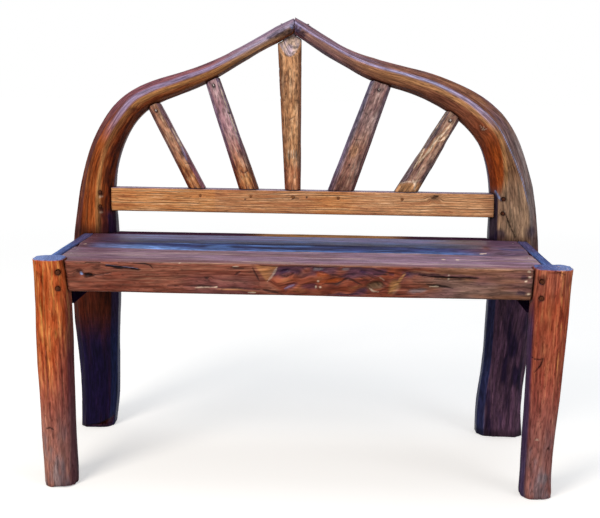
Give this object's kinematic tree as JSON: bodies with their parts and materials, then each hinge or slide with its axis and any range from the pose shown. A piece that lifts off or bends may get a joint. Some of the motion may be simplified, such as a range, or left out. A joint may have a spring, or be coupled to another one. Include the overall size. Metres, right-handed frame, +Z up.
{
  "type": "bench",
  "caption": "Rustic hardwood bench with log legs, a thick slab seat, and a pointed arched back of bent trunks with fanned spindles.",
  "frame": {"origin": "on the floor, in the middle of the bench's width and depth", "axes": "+X to the right for someone facing the bench, +Y to the rear and +Z up"},
  "size_m": [1.0764, 0.4662, 0.9556],
  "materials": {
    "crook_wood": "hewn, stained reddish brown, glossy varnish",
    "log_wood": "hewn round log, stained red brown, glossy varnish",
    "slab_wood": "planed thick slab, weathered figure, glossy varnish",
    "rail_wood": "sawn rail, stained brown",
    "spindle_wood": "hewn bar, lighter golden brown, varnished",
    "peg_wood": "end grain of a driven peg",
    "nail_steel": "worn bright nail heads"
  },
  "bodies": {
    "root": {"rear_post_left": "crook_wood", "rear_post_right": "crook_wood", "front_leg_left": "log_wood", "front_leg_right": "log_wood", "seat_slab_front": "slab_wood", "seat_slab_rear": "slab_wood", "side_rail_left": "rail_wood", "side_rail_right": "rail_wood", "seat_bearer_left": "rail_wood", "seat_bearer_right": "rail_wood", "rear_seat_rail": "rail_wood", "back_rail": "spindle_wood", "spindle_outer_left": "spindle_wood", "spindle_inner_left": "spindle_wood", "spindle_centre": "spindle_wood", "spindle_inner_right": "spindle_wood", "spindle_outer_right": "spindle_wood", "ridge_dowel": "peg_wood", "front_leg_pegs": "peg_wood", "back_rail_pegs": "peg_wood", "rear_rail_pegs": "peg_wood", "side_rail_pegs": "peg_wood", "spindle_foot_pegs": "peg_wood", "spindle_head_nails": "nail_steel", "arch_nails": "nail_steel", "seat_nails": "nail_steel", "bearer_nails": "nail_steel"}
  },
  "joints": []
}
